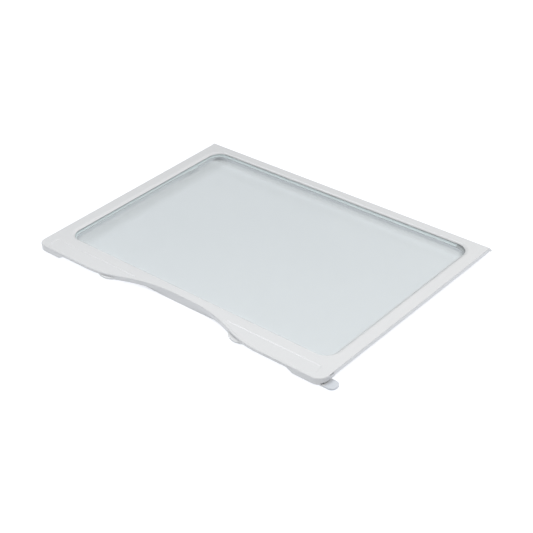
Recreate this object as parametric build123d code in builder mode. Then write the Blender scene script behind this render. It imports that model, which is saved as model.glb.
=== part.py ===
from build123d import *
import os

os.makedirs("parts", exist_ok=True)

# ---------------------------------------------------------------- driving dimensions (mm)
WIDTH = 440.0            # across the two side bands
DEPTH = 316.5            # front face to the upper rear edge
HEIGHT = 11.5            # underside of the front beam to the top of the rim
REAR_SLOPE = 5.0         # how far the sloped rear edge runs out behind the upper rear edge
REAR_DROP = 6.4          # height of the sloped rear edge

TOP_T = 2.0              # thickness of the top wall of the rim
WALL = 2.2               # thickness of the upright walls
CORNER_R = 12.0          # front outer corners
EDGE_R = 1.4             # rounding of the upper outer edge

SIDE_BAND = 5.2          # height of the outer band on the sides
LIP = 3.5                # height of the straight front lip
SCOOP_WALL = 5.8         # height of the wall round the finger scoop
SKIRT = 8.0              # height of the skirts at the two front corners
SKIRT_LEN = 38.0         # length of each skirt along the front, full height
SKIRT_RUN = 8.5          # length of its sloped end
SKIRT_SIDE = 20.0        # length of each skirt along the side
SKIRT_SIDE_RUN = 5.5

SCOOP_DEPTH = 23.4       # finger scoop: how far it cuts into the front rail
SCOOP_FLAT = 12.5        # half width of its straight bottom
SCOOP_R = 190.0          # concave flanks
SHOULDER_R = 130.0       # convex shoulders

GLASS_T = 4.0
GLASS_TOP = HEIGHT - TOP_T
GLASS_SIDE = 8.0         # glass edge, measured in from the side band's outer face
GLASS_FRONT = 27.2       # glass edge, measured from the front face
GLASS_REAR = 5.0         # glass edge, measured in from the upper rear edge
GLASS_R = 6.0
GLASS_GAP = 0.05         # play between the glass edge and the groove

WIN_SIDE = 18.0          # visible window at glass level
WIN_FRONT = 35.6
WIN_REAR = 12.4
WIN_R = 17.0
BEVEL_SIDE = 4.6         # width of the slope from the rim's top down to the glass
BEVEL_FRONT = 2.6
BEVEL_REAR = 2.6
LAND = 0.25              # upright land left at the glass
BEVEL_CURVE = ((0.0, 0.0), (0.3, 0.1), (0.6, 0.36), (0.85, 0.74), (1.0, 1.0))  # run, drop

LIP_SIDE = 20.4          # lower lip under the glass
LIP_FRONT = 36.5
LIP_REAR = 15.4
LIP_R = 15.5
LIP_T = 2.0
BED = 0.12               # bed of adhesive between the lip and the glass
RIB_IN = 4.6             # the rib under the lip stands back from the lip's edge
RIB_DROP = 3.5           # depth of the rib below the glass

RECESS_DEPTH = 0.6       # shallow tray in the top of the front rail
RECESS_SLOPE = 62.0      # slope of its edges, degrees from upright
RECESS_RIM = 3.6
RECESS_REAR = 20.2
RECESS_END = 15.0

BEAM_Y = 23.4            # upright beam behind the scoop
BEAM_HALF = 205.0
BELLY_FLAT = 15.0        # half length of the beam's deepest stretch, in the middle of the scoop
BELLY_HALF = 70.0        # where its underside has risen to the level of the ribs

LEDGE_RIGHT = 100.0      # small grip ledges at the scoop's shoulders, from the middle
LEDGE_LEFT = 105.0
LEDGE_R = 20.0
LEDGE_Y = 20.5           # centre of the ledge's round edge behind the front face
LEDGE_BACK = 20.0
LEDGE_END_RIGHT = 112.0  # the ledges are cut off square here
LEDGE_END_LEFT = 117.0
LEDGE_TOP = 3.2
LEDGE_BOTTOM = 5.2
LEDGE_SPAN = 95.0        # the scoop's deeper wall ends here, under the shoulders the ledge shows

TONGUE_OUT = 12.3        # flat locating tongue at the front right corner
TONGUE_Y0 = 4.0
TONGUE_Y1 = 18.9
TONGUE_T = 2.0
TONGUE_R = 6.8
TONGUE_ROOT = 8.0        # how far it runs in under the corner
SLOT_H = 1.6             # slot above the tongue
SLOT_Y1 = 23.3

RAMP_Y0 = 226.0          # wedge-shaped stop at the left rail, and the feet
RAMP_Y1 = 260.0
RAMP_IN = 23.2

# ---------------------------------------------------------------- frame of reference
# x = 0 on the middle of the box, y = 0 on the middle of the box, z = 0 on the underside
OX = -TONGUE_OUT / 2
OY = -(DEPTH + REAR_SLOPE) / 2
HALF = WIDTH / 2


def level(z):
    """Horizontal working plane: local origin on the middle of the front face."""
    return Plane(origin=(OX, OY, z), x_dir=(1, 0, 0), z_dir=(0, 0, 1))


# tangent points of the scoop's arcs
_c1 = (SCOOP_FLAT, SCOOP_DEPTH - SCOOP_R)
_dy = SHOULDER_R - _c1[1]
SCOOP_HALF = SCOOP_FLAT + ((SCOOP_R + SHOULDER_R) ** 2 - _dy ** 2) ** 0.5
_k = SCOOP_R / (SCOOP_R + SHOULDER_R)
TAN_X = _c1[0] + (SCOOP_HALF - _c1[0]) * _k
TAN_Y = _c1[1] + _dy * _k


def outline_wire():
    """Outer edge of the rim seen from above, with the finger scoop in front."""
    with BuildLine() as ln:
        Line((SCOOP_FLAT, SCOOP_DEPTH), (-SCOOP_FLAT, SCOOP_DEPTH))
        for s in (1, -1):
            RadiusArc((s * SCOOP_FLAT, SCOOP_DEPTH), (s * TAN_X, TAN_Y), s * SCOOP_R)
            RadiusArc((s * TAN_X, TAN_Y), (s * SCOOP_HALF, 0), -s * SHOULDER_R)
            Line((s * SCOOP_HALF, 0), (s * (HALF - CORNER_R), 0))
            RadiusArc((s * (HALF - CORNER_R), 0), (s * HALF, CORNER_R), -s * CORNER_R)
            Line((s * HALF, CORNER_R), (s * HALF, DEPTH))
        Line((HALF, DEPTH), (-HALF, DEPTH))
    return ln


def rounded(x_in, y_front, y_rear, r):
    """Rounded rectangle set in from the sides, front and rear."""
    w = WIDTH - 2 * x_in
    h = DEPTH - y_front - y_rear
    with Locations((0, y_front + h / 2)):
        RectangleRounded(w, h, r)


outline = outline_wire()

# ---------------------------------------------------------------- glass
with BuildPart() as glass_panel:
    with BuildSketch(level(GLASS_TOP - GLASS_T)):
        rounded(GLASS_SIDE, GLASS_FRONT, GLASS_REAR, GLASS_R)
    extrude(amount=GLASS_T)
    # ground edges
    chamfer(
        glass_panel.edges().group_by(Axis.Z)[-1] + glass_panel.edges().group_by(Axis.Z)[0],
        length=0.4,
    )

# ---------------------------------------------------------------- rim
with BuildPart() as shelf_frame:
    # top wall and a full-depth outer wall, trimmed to the different heights round the edge
    with BuildSketch(level(HEIGHT - SKIRT)) as walls:
        add(outline.line)
        make_face()
        offset(amount=-WALL, mode=Mode.SUBTRACT)
    extrude(amount=SKIRT - TOP_T)

    # front edge seen from the front: skirts at the corners, thin lip, deeper wall at the scoop
    low = HEIGHT - SKIRT
    lip = HEIGHT - LIP
    wall = HEIGHT - SCOOP_WALL
    band = HEIGHT - SIDE_BAND
    x_skirt = HALF - SKIRT_LEN
    with BuildSketch(Plane(origin=(OX, OY - 1, 0), x_dir=(1, 0, 0), z_dir=(0, -1, 0))):
        with BuildLine():
            Polyline(
                (-x_skirt, low - 1), (-x_skirt, low), (-x_skirt + SKIRT_RUN, lip),
                (-LEDGE_SPAN - 2, lip), (-LEDGE_SPAN + 2, wall),
                (LEDGE_SPAN - 2, wall), (LEDGE_SPAN + 2, lip),
                (x_skirt - SKIRT_RUN, lip), (x_skirt, low), (x_skirt, low - 1),
                close=True,
            )
        make_face()
    extrude(amount=-60, mode=Mode.SUBTRACT)

    # side bands and the rear seen from the right
    with BuildSketch(Plane(origin=(OX - HALF - 1, OY, 0), x_dir=(0, 1, 0), z_dir=(1, 0, 0))):
        with BuildLine():
            Polyline(
                (SKIRT_SIDE, low - 1), (SKIRT_SIDE, low),
                (SKIRT_SIDE + SKIRT_SIDE_RUN, band),
                (DEPTH + 1, band), (DEPTH + 1, low - 1),
                close=True,
            )
        make_face()
    extrude(amount=WIDTH + 2, mode=Mode.SUBTRACT)

    # top wall
    with BuildSketch(level(HEIGHT - TOP_T)):
        add(outline.line)
        make_face()
    extrude(amount=TOP_T)

    # upper outer edge, rounded all the way along the sides and the scooped front
    top_edges = shelf_frame.faces().sort_by(Axis.Z)[-1].outer_wire().edges()
    rear_edge = top_edges.sort_by(Axis.Y)[-1]
    fillet([e for e in top_edges if e.center().Y < rear_edge.center().Y - 0.01], radius=EDGE_R)

    # sloped rear edge
    with BuildSketch(Plane(origin=(OX - HALF, OY, 0), x_dir=(0, 1, 0), z_dir=(1, 0, 0))):
        with BuildLine():
            Polyline(
                (DEPTH - 3.0, HEIGHT), (DEPTH, HEIGHT), (DEPTH + REAR_SLOPE, HEIGHT - REAR_DROP + 0.8),
                (DEPTH + REAR_SLOPE, HEIGHT - REAR_DROP), (DEPTH + REAR_SLOPE - 2.4, HEIGHT - REAR_DROP),
                (DEPTH - 3.0, HEIGHT - TOP_T),
                close=True,
            )
        make_face()
    extrude(amount=WIDTH)

    # upright walls of the groove that holds the glass edge
    with BuildSketch(level(HEIGHT - TOP_T - GLASS_T - RIB_DROP)):
        rounded(GLASS_SIDE - WALL, GLASS_FRONT - WALL, GLASS_REAR - WALL, GLASS_R + WALL)
        with Locations((0, GLASS_FRONT - GLASS_GAP + (DEPTH - GLASS_FRONT - GLASS_REAR + 2 * GLASS_GAP) / 2)):
            RectangleRounded(
                WIDTH - 2 * GLASS_SIDE + 2 * GLASS_GAP,
                DEPTH - GLASS_FRONT - GLASS_REAR + 2 * GLASS_GAP,
                GLASS_R + GLASS_GAP,
                mode=Mode.SUBTRACT,
            )
    extrude(amount=RIB_DROP + GLASS_T)

    # lower lip under the glass
    with BuildSketch(level(HEIGHT - TOP_T - GLASS_T - LIP_T)):
        rounded(GLASS_SIDE - WALL, GLASS_FRONT - WALL, GLASS_REAR - WALL, GLASS_R + WALL)
        with Locations((0, LIP_FRONT + (DEPTH - LIP_FRONT - LIP_REAR) / 2)):
            RectangleRounded(
                WIDTH - 2 * LIP_SIDE, DEPTH - LIP_FRONT - LIP_REAR, LIP_R, mode=Mode.SUBTRACT
            )
    extrude(amount=LIP_T - BED)

    # rib under the lower lip
    with BuildSketch(level(HEIGHT - TOP_T - GLASS_T - RIB_DROP)):
        rib = RIB_IN + WALL
        rounded(LIP_SIDE - rib, LIP_FRONT - rib, LIP_REAR - rib, LIP_R + rib)
        with Locations((0, LIP_FRONT + (DEPTH - LIP_FRONT - LIP_REAR) / 2)):
            RectangleRounded(
                WIDTH - 2 * (LIP_SIDE - RIB_IN), DEPTH - LIP_FRONT - LIP_REAR + 2 * RIB_IN, LIP_R + RIB_IN,
                mode=Mode.SUBTRACT,
            )
    extrude(amount=RIB_DROP - LIP_T + 0.2)

    # upright front beam behind the scoop, deepest in the middle
    rise = HEIGHT - TOP_T - GLASS_T - RIB_DROP
    belly_r = ((BELLY_HALF - BELLY_FLAT) ** 2 + rise ** 2) / (2 * rise)
    with BuildSketch(Plane(origin=(OX, OY + BEAM_Y, 0), x_dir=(1, 0, 0), z_dir=(0, -1, 0))):
        with BuildLine():
            Line((-BELLY_FLAT, 0), (BELLY_FLAT, 0))
            for s in (1, -1):
                RadiusArc((s * BELLY_FLAT, 0), (s * BELLY_HALF, rise), -s * belly_r)
                Line((s * BELLY_HALF, rise), (s * BEAM_HALF, rise))
                Line((s * BEAM_HALF, rise), (s * BEAM_HALF, HEIGHT - TOP_T))
            Line((-BEAM_HALF, HEIGHT - TOP_T), (BEAM_HALF, HEIGHT - TOP_T))
        make_face()
    extrude(amount=-WALL)

    # ribs under the front rail, and short ones under the side rails
    with BuildSketch(level(HEIGHT - LIP + 0.4)):
        for s in (1, -1):
            for x in (122, 146, 170, 194):
                with Locations((s * x, (WALL + BEAM_Y) / 2)):
                    Rectangle(1.6, BEAM_Y - WALL + 1)
            for y in (60, 100, 140, 180, 220, 260, 300):
                with Locations((s * (HALF - (WALL + GLASS_SIDE - WALL) / 2), y)):
                    Rectangle(GLASS_SIDE - 2 * WALL + 1, 1.6)
    extrude(amount=LIP - TOP_T - 0.4 + 0.2)

    # small grip ledges under the scoop's shoulders
    with BuildSketch(level(HEIGHT - LEDGE_BOTTOM)):
        with Locations((LEDGE_RIGHT, LEDGE_Y), (-LEDGE_LEFT, LEDGE_Y)):
            Circle(LEDGE_R)
        with Locations(((LEDGE_END_RIGHT - LEDGE_END_LEFT) / 2, LEDGE_BACK - 50)):
            Rectangle(LEDGE_END_RIGHT + LEDGE_END_LEFT, 100, mode=Mode.INTERSECT)
    extrude(amount=LEDGE_BOTTOM - LEDGE_TOP)

    # locating tongue at the front right corner, rounded at its free end
    with BuildSketch(level(low - TONGUE_T)) as tongue:
        with Locations((HALF + (TONGUE_OUT - TONGUE_ROOT) / 2, (TONGUE_Y0 + TONGUE_Y1) / 2)):
            Rectangle(TONGUE_OUT + TONGUE_ROOT, TONGUE_Y1 - TONGUE_Y0)
        fillet(tongue.vertices().group_by(Axis.X)[-1], radius=TONGUE_R)
    extrude(amount=TONGUE_T)

    # slot between the tongue and the corner skirt, with the web inside that carries the tongue
    with BuildSketch(level(low)):
        with Locations((HALF - 2.5, (TONGUE_Y0 + SLOT_Y1) / 2 - 0.25)):
            Rectangle(9, SLOT_Y1 - TONGUE_Y0 + 0.5)
    extrude(amount=SLOT_H, mode=Mode.SUBTRACT)
    with BuildSketch(level(low - TONGUE_T)):
        with Locations((HALF - TONGUE_ROOT + WALL / 2, (TONGUE_Y0 + TONGUE_Y1) / 2)):
            Rectangle(WALL, TONGUE_Y1 - TONGUE_Y0)
    extrude(amount=HEIGHT - TOP_T - low + TONGUE_T + 0.2)

    # wedge-shaped stop on the lower lip of the left rail
    with BuildSketch(level(HEIGHT - TOP_T - GLASS_T - LIP_T)):
        with BuildLine():
            Polyline(
                (-HALF + LIP_SIDE - 2, RAMP_Y0), (-HALF + LIP_SIDE, RAMP_Y0),
                (-HALF + RAMP_IN, RAMP_Y1), (-HALF + LIP_SIDE - 2, RAMP_Y1),
                close=True,
            )
        make_face()
    extrude(amount=LIP_T - BED)

    # sloped feet in line with the rib, the left one below the stop
    for x in (-HALF + LIP_SIDE - RIB_IN - WALL, HALF - LIP_SIDE + RIB_IN):
        with BuildSketch(Plane(origin=(OX + x, OY, 0), x_dir=(0, 1, 0), z_dir=(1, 0, 0))):
            with BuildLine():
                Polyline(
                    (RAMP_Y0, rise), (RAMP_Y1 - 8, 0), (RAMP_Y1, 0),
                    (RAMP_Y1, rise + 0.2), (RAMP_Y0, rise + 0.2),
                    close=True,
                )
            make_face()
        extrude(amount=WALL)

    # window: upright land at the glass, then a slope up to the top of the rim
    with BuildSketch(level(GLASS_TOP)):
        rounded(WIN_SIDE, WIN_FRONT, WIN_REAR, WIN_R)
    extrude(amount=TOP_T + 1, mode=Mode.SUBTRACT)
    for (f0, d0), (f1, d1) in zip(BEVEL_CURVE[:-1], BEVEL_CURVE[1:]):
        for f, d in ((f1, d1), (f0, d0)):
            with BuildSketch(level(HEIGHT - d * (TOP_T - LAND))):
                rounded(
                    WIN_SIDE - BEVEL_SIDE * (1 - f), WIN_FRONT - BEVEL_FRONT * (1 - f),
                    WIN_REAR - BEVEL_REAR * (1 - f), WIN_R + 3.0 * (1 - f),
                )
        loft(ruled=True, mode=Mode.SUBTRACT)

    # shallow tray in the front rail, stopped short of the scoop, the front lip and the corners
    with BuildSketch(level(HEIGHT - RECESS_DEPTH)) as tray:
        add(outline.line)
        make_face()
        offset(amount=-RECESS_RIM, mode=Mode.REPLACE)
        with Locations((0, RECESS_REAR / 2)):
            Rectangle(WIDTH - 2 * RECESS_END, RECESS_REAR, mode=Mode.INTERSECT)
        ends = tray.vertices().group_by(Axis.X)
        fillet([v.sort_by(Axis.Y)[0] for v in (ends[0], ends[-1])], radius=8.0)
        ends = tray.vertices().group_by(Axis.X)
        fillet([v.sort_by(Axis.Y)[-1] for v in (ends[0], ends[-1])], radius=2.5)
        fillet(tray.vertices().group_by(Axis.Y)[-1].sort_by(Axis.X)[1:3], radius=1.2)
    extrude(amount=RECESS_DEPTH + 0.01, taper=-RECESS_SLOPE, mode=Mode.SUBTRACT)

    # moulding window above the tongue
    with BuildSketch(Plane(origin=(OX + HALF + 0.5, OY, 0), x_dir=(0, 1, 0), z_dir=(1, 0, 0))):
        with Locations((18.3, HEIGHT - 1.65)):
            Rectangle(5.8, 1.5)
    extrude(amount=-3.2, mode=Mode.SUBTRACT)

glass_panel.part.label = "glass_panel"
shelf_frame.part.label = "shelf_frame"

export_step(glass_panel.part, "parts/glass_panel.step")
export_step(shelf_frame.part, "parts/shelf_frame.step")

for p in (glass_panel, shelf_frame):
    bb = p.part.bounding_box()
    print(p.part.label, "solids", len(p.part.solids()), "volume", round(p.part.volume, 1),
          "min", tuple(round(v, 2) for v in bb.min), "max", tuple(round(v, 2) for v in bb.max))
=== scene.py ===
import math

import bpy
from mathutils import Matrix, Vector

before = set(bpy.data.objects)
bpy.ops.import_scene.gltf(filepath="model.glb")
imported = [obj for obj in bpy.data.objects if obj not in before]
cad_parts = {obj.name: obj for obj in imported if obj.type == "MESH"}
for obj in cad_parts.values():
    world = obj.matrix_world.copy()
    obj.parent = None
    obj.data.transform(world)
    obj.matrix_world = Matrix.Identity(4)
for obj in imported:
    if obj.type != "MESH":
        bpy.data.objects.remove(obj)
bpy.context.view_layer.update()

scene = bpy.context.scene

# ---------------------------------------------------------------- tone
scene.view_settings.view_transform = "Standard"
scene.view_settings.look = "None"
scene.view_settings.exposure = 0.0
scene.view_settings.gamma = 1.0


# ---------------------------------------------------------------- camera
AZ, EL, ROLL = math.radians(42.23949812), math.radians(33.32763977), math.radians(-2.75357296)
back = Vector((math.sin(AZ) * math.cos(EL), -math.cos(AZ) * math.cos(EL), math.sin(EL)))
fwd = -back
right = fwd.cross(Vector((0, 0, 1))).normalized()
up = right.cross(fwd)
r = right * math.cos(ROLL) + up * math.sin(ROLL)
u = -right * math.sin(ROLL) + up * math.cos(ROLL)
m = Matrix.Identity(4)
for i in range(3):
    m[i][0], m[i][1], m[i][2] = r[i], u[i], back[i]
m[0][3], m[1][3], m[2][3] = 0.85955790575, -0.9456859884, 0.82234406658
cam_data = bpy.data.cameras.new("camera")
cam = bpy.data.objects.new("camera", cam_data)
scene.collection.objects.link(cam)
cam.matrix_world = m
cam_data.sensor_fit = "HORIZONTAL"
cam_data.sensor_width = 36.0
cam_data.lens = 36.0 * 1271.9485 / 533.0
cam_data.clip_start = 0.05
cam_data.clip_end = 100.0
cam_data.dof.use_dof = False
scene.camera = cam


# ---------------------------------------------------------------- node helpers
def new_material(name):
    mat = bpy.data.materials.new(name)
    mat.use_nodes = True
    nt = mat.node_tree
    nt.nodes.clear()
    out = nt.nodes.new("ShaderNodeOutputMaterial")
    bsdf = nt.nodes.new("ShaderNodeBsdfPrincipled")
    nt.links.new(bsdf.outputs["BSDF"], out.inputs["Surface"])
    # faint glows light their neighbours by bounce alone, and are not picked as lamps
    mat.cycles.emission_sampling = "NONE"
    return mat, nt, bsdf


def noise(nt, coord, scale, detail=2.0, rough=0.5, stretch=(1, 1, 1)):
    mp = nt.nodes.new("ShaderNodeMapping")
    mp.inputs["Scale"].default_value = stretch
    nt.links.new(coord, mp.inputs["Vector"])
    n = nt.nodes.new("ShaderNodeTexNoise")
    n.inputs["Scale"].default_value = scale
    n.inputs["Detail"].default_value = detail
    n.inputs["Roughness"].default_value = rough
    nt.links.new(mp.outputs["Vector"], n.inputs["Vector"])
    return n.outputs["Fac"]


def ramp(nt, fac, stops):
    cr = nt.nodes.new("ShaderNodeValToRGB")
    el = cr.color_ramp.elements
    while len(el) < len(stops):
        el.new(0.5)
    for e, (pos, col) in zip(el, stops):
        e.position = pos
        e.color = col if len(col) == 4 else (*col, 1.0)
    nt.links.new(fac, cr.inputs["Fac"])
    return cr.outputs["Color"]


def to_range(nt, fac, lo, hi, a=0.3, b=0.7):
    mr = nt.nodes.new("ShaderNodeMapRange")
    mr.inputs["From Min"].default_value = a
    mr.inputs["From Max"].default_value = b
    mr.inputs["To Min"].default_value = lo
    mr.inputs["To Max"].default_value = hi
    nt.links.new(fac, mr.inputs["Value"])
    return mr.outputs["Result"]


def bump(nt, height, distance, strength=1.0, normal=None):
    b = nt.nodes.new("ShaderNodeBump")
    b.inputs["Distance"].default_value = distance
    b.inputs["Strength"].default_value = strength
    nt.links.new(height, b.inputs["Height"])
    if normal is not None:
        nt.links.new(normal, b.inputs["Normal"])
    return b.outputs["Normal"]


def box_mask(nt, coord, limits, soft):
    """1 inside the given limits along the axes, 0 outside them."""
    sep = nt.nodes.new("ShaderNodeSeparateXYZ")
    nt.links.new(coord, sep.inputs["Vector"])
    result = None
    for axis, lo, hi in limits:
        d = nt.nodes.new("ShaderNodeMath")
        d.operation = "SUBTRACT"
        nt.links.new(sep.outputs[axis], d.inputs[0])
        d.inputs[1].default_value = (lo + hi) / 2
        e = nt.nodes.new("ShaderNodeMath")
        e.operation = "ABSOLUTE"
        nt.links.new(d.outputs[0], e.inputs[0])
        side = to_range(nt, e.outputs[0], 1.0, 0.0, (hi - lo) / 2 - soft, (hi - lo) / 2 + soft)
        if result is None:
            result = side
        else:
            m = nt.nodes.new("ShaderNodeMath")
            m.operation = "MULTIPLY"
            nt.links.new(result, m.inputs[0])
            nt.links.new(side, m.inputs[1])
            result = m.outputs[0]
    return result


# ---------------------------------------------------------------- white moulded plastic
def plastic_material():
    mat, nt, bsdf = new_material("rim_plastic")
    co = nt.nodes.new("ShaderNodeTexCoord").outputs["Object"]
    # slow clouding of the white resin, slightly drawn out along the flow of the rails
    cloud = noise(nt, co, 9.0, 3.0, 0.55, (1.0, 1.4, 3.0))
    base = ramp(nt, cloud, [(0.30, (0.667, 0.675, 0.681)), (0.70, (0.686, 0.692, 0.697))])
    # the thin tongue beyond x = 213.2 mm is given a darker, cooler white than the rim
    sep = nt.nodes.new("ShaderNodeSeparateXYZ")
    nt.links.new(co, sep.inputs["Vector"])
    thin = to_range(nt, sep.outputs["X"], 0.0, 1.0, 0.2132, 0.2150)
    mix = nt.nodes.new("ShaderNodeMix")
    mix.data_type = "RGBA"
    nt.links.new(thin, mix.inputs["Factor"])
    nt.links.new(base, mix.inputs["A"])
    nt.links.new(ramp(nt, cloud, [(0.30, (0.572, 0.596, 0.632)), (0.70, (0.592, 0.616, 0.650))]), mix.inputs["B"])
    # painted light: the bed of the lower lip under the pane gets a paler, cyan-tinted colour and a faint glow of
    # its own, so it reads bright through the glass
    lip = box_mask(nt, co, (("X", -0.2095, 0.1770), ("Y", -0.1260, 0.1449)), 0.0001)
    depth = to_range(nt, sep.outputs["Z"], 0.0, 1.0, 0.0036, 0.0052)
    above = to_range(nt, sep.outputs["Z"], 1.0, 0.0, 0.0056, 0.0057)
    painted_light_bed = None
    for part in (lip, depth, above):
        if painted_light_bed is None:
            painted_light_bed = part
            continue
        both = nt.nodes.new("ShaderNodeMath")
        both.operation = "MULTIPLY"
        nt.links.new(painted_light_bed, both.inputs[0])
        nt.links.new(part, both.inputs[1])
        painted_light_bed = both.outputs[0]
    painted_light_lift = nt.nodes.new("ShaderNodeMix")
    painted_light_lift.data_type = "RGBA"
    nt.links.new(painted_light_bed, painted_light_lift.inputs["Factor"])
    nt.links.new(mix.outputs["Result"], painted_light_lift.inputs["A"])
    nt.links.new(ramp(nt, cloud, [(0.30, (0.800, 0.860, 0.865)), (0.70, (0.820, 0.875, 0.880))]), painted_light_lift.inputs["B"])
    nt.links.new(painted_light_lift.outputs["Result"], bsdf.inputs["Base Color"])
    # painted light: the lip bed glows faintly cyan-white, though it is no lamp
    bsdf.inputs["Emission Color"].default_value = (0.94, 1.0, 1.0, 1.0)
    nt.links.new(to_range(nt, painted_light_bed, 0.0, 0.30, 0.0, 1.0), bsdf.inputs["Emission Strength"])
    bsdf.inputs["IOR"].default_value = 1.49
    # satin skin: faint mould grain over slow sink and waviness
    nt.links.new(to_range(nt, noise(nt, co, 240.0, 2.0, 0.5), 0.278, 0.302), bsdf.inputs["Roughness"])
    n = bump(nt, noise(nt, co, 55.0, 1.0, 0.4), 0.000008, 0.25)
    n = bump(nt, noise(nt, co, 700.0, 1.0, 0.5), 0.0000015, 0.25, n)
    nt.links.new(n, bsdf.inputs["Normal"])
    return mat


# ---------------------------------------------------------------- glass
def glass_material():
    mat, nt, bsdf = new_material("shelf_glass")
    co = nt.nodes.new("ShaderNodeTexCoord").outputs["Object"]
    tint = ramp(nt, noise(nt, co, 6.0, 2.0, 0.5), [(0.3, (0.640, 0.677, 0.687)), (0.7, (0.651, 0.687, 0.696))])
    nt.links.new(tint, bsdf.inputs["Base Color"])
    bsdf.inputs["Transmission Weight"].default_value = 1.0
    bsdf.inputs["IOR"].default_value = 1.5
    smear = noise(nt, co, 22.0, 4.0, 0.6, (1.0, 0.35, 1.0))
    nt.links.new(to_range(nt, smear, 0.0, 0.035, 0.45, 0.75), bsdf.inputs["Roughness"])
    # very slight roller wave of tempered glass
    n = bump(nt, noise(nt, co, 14.0, 1.0, 0.4, (1.0, 0.2, 1.0)), 0.00002, 0.4)
    nt.links.new(n, bsdf.inputs["Normal"])
    return mat


GLOW_ROUND = 0.895       # glow of the paper round the part
GLOW_UNDER = 0.3225      # and under the pane
# painted light and shade: factors on the paper's glow under the pane, as (mm, factor) along X and Y; the dips paint
# shadow beside the left and rear rails and a faint second shade, the rises paint light streaks, and the slope along
# X paints light falling off to the right
PAINTED_LIGHT_SHADE_X = [
    (-209.0, 1.00), (-205.5, 0.84), (-202.5, 0.60), (-197.0, 0.56), (-190.5, 0.70),
    (-185.0, 0.95), (-179.0, 1.15), (-140.0, 1.11), (0.0, 1.02), (195.0, 0.92),
]
PAINTED_LIGHT_SHADE_Y = [
    (-130.0, 0.98), (0.0, 1.0), (107.0, 1.01), (118.0, 0.92), (122.5, 1.0),
    (127.5, 1.14), (131.0, 0.98), (134.5, 0.66), (137.2, 0.64), (139.5, 0.86), (141.0, 1.0),
]


def floor_material():
    """White sweep: it glows evenly round the part; under the glass it reflects more and glows less, and that glow
    is graded to paint shadow beside the left and rear rails and streaks of light.
    """
    mat, nt, bsdf = new_material("floor_paper")
    co = nt.nodes.new("ShaderNodeTexCoord").outputs["Object"]
    under = box_mask(nt, co, (("X", -0.2085, 0.2072), ("Y", -0.1363, 0.1442)), 0.004)
    nt.links.new(ramp(nt, under, [(0.0, (0.30, 0.30, 0.30)), (1.0, (0.75, 0.75, 0.75))]), bsdf.inputs["Base Color"])
    bsdf.inputs["Roughness"].default_value = 0.9
    bsdf.inputs["Specular IOR Level"].default_value = 0.0
    bsdf.inputs["Emission Color"].default_value = (0.937, 0.956, 1.0, 1.0)
    # painted shade and light: under the pane the glow is graded, dimmer beside the left and rear rails to paint
    # their shadow on the paper, brighter in streaks and towards the left
    sep = nt.nodes.new("ShaderNodeSeparateXYZ")
    nt.links.new(co, sep.inputs["Vector"])
    glow = None
    for axis, lo, hi, stops in (("X", -0.220, 0.200, PAINTED_LIGHT_SHADE_X), ("Y", -0.140, 0.150, PAINTED_LIGHT_SHADE_Y)):
        fac = to_range(nt, sep.outputs[axis], 0.0, 1.0, lo, hi)
        level = ramp(nt, fac, [((p / 1000.0 - lo) / (hi - lo), (v / 2, v / 2, v / 2)) for p, v in stops])
        if glow is None:
            glow = level
            continue
        product = nt.nodes.new("ShaderNodeMath")
        product.operation = "MULTIPLY"
        nt.links.new(glow, product.inputs[0])
        nt.links.new(level, product.inputs[1])
        glow = product.outputs[0]
    change = nt.nodes.new("ShaderNodeMath")
    change.operation = "MULTIPLY_ADD"
    nt.links.new(glow, change.inputs[0])
    change.inputs[1].default_value = 4 * GLOW_UNDER
    change.inputs[2].default_value = -GLOW_ROUND
    total = nt.nodes.new("ShaderNodeMath")
    total.operation = "MULTIPLY_ADD"
    nt.links.new(change.outputs[0], total.inputs[0])
    nt.links.new(under, total.inputs[1])
    total.inputs[2].default_value = GLOW_ROUND
    nt.links.new(total.outputs[0], bsdf.inputs["Emission Strength"])
    return mat


def assign(obj, mat):
    obj.data.materials.clear()
    obj.data.materials.append(mat)


assign(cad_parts["shelf_frame"], plastic_material())
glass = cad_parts["glass_panel"]
assign(glass, glass_material())
# lamps reach the floor through the pane
glass.visible_shadow = False
glass.visible_diffuse = False


# ---------------------------------------------------------------- floor
fm = bpy.data.meshes.new("floor")
S = 12.0
fm.from_pydata([(-S, -S, 0), (S, -S, 0), (S, S, 0), (-S, S, 0)], [], [(0, 1, 2, 3)])
floor = bpy.data.objects.new("floor", fm)
scene.collection.objects.link(floor)
floor.location.z = -0.00002
assign(floor, floor_material())


# ---------------------------------------------------------------- light
# soft studio light: broad lamps round a quiet room, each as (azimuth, elevation, tightness, strength)
LAMPS = [
    (30, 42, 9, 0.95),
    (90, 42, 9, 0.90),
    (90, 75, 9, 1.42),
    (210, 75, 9, 1.00),
    (185, 25, 40, 1.55),
    (335, 27, 40, 0.73),
]
AMBIENT = 0.005

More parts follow.
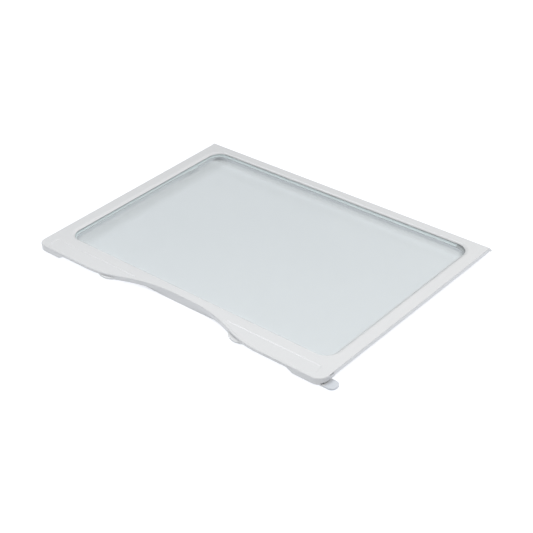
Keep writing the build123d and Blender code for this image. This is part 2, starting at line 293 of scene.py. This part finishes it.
world = bpy.data.worlds.new("studio")
scene.world = world
world.use_nodes = True
wt = world.node_tree
bg = wt.nodes["Background"]
bg.inputs["Color"].default_value = (0.998, 1.0, 1.006, 1.0)
sky = wt.nodes.new("ShaderNodeTexCoord").outputs["Generated"]


def math_node(op, *values):
    n = wt.nodes.new("ShaderNodeMath")
    n.operation = op
    for socket, v in zip(n.inputs, values):
        if isinstance(v, (int, float)):
            socket.default_value = v
        else:
            wt.links.new(v, socket)
    return n.outputs[0]


total = None
for az, el, tight, strength in LAMPS:
    a, e = math.radians(az), math.radians(el)
    dot = wt.nodes.new("ShaderNodeVectorMath")
    dot.operation = "DOT_PRODUCT"
    wt.links.new(sky, dot.inputs[0])
    dot.inputs[1].default_value = (math.cos(e) * math.cos(a), math.cos(e) * math.sin(a), math.sin(e))
    lamp = math_node("EXPONENT", math_node("MULTIPLY_ADD", dot.outputs["Value"], float(tight), -float(tight)))
    total = math_node("MULTIPLY_ADD", lamp, strength, AMBIENT if total is None else total)
wt.links.new(total, bg.inputs["Strength"])

# a rounder lamp high on the left, far off
key_data = bpy.data.lights.new("key", "SUN")
key_data.energy = 0.54
key_data.angle = math.radians(13.0)
key_data.color = (0.97, 0.985, 1.0)
key = bpy.data.objects.new("key", key_data)
a, e = math.radians(190), math.radians(57)
key.rotation_euler = Vector(
    (math.cos(e) * math.cos(a), math.cos(e) * math.sin(a), math.sin(e))
).to_track_quat("Z", "Y").to_euler()
scene.collection.objects.link(key)

# two small soft boxes close to the front and right edges
for name, place, power, tone in (
    ("box_front", (-0.10, -0.47, 0.55), 1.00, (0.95, 0.975, 1.0)),
    ("box_right", (0.50, 0.10, 0.50), 0.76, (1.0, 0.985, 0.95)),
):
    data = bpy.data.lights.new(name, "AREA")
    data.shape = "SQUARE"
    data.size = 0.30
    data.energy = power
    data.color = tone
    box = bpy.data.objects.new(name, data)
    box.location = place
    box.rotation_euler = (Vector((0.10, -0.05, 0.0)) - Vector(place)).to_track_quat("-Z", "Y").to_euler()
    box.visible_camera = False
    box.visible_glossy = False
    scene.collection.objects.link(box)
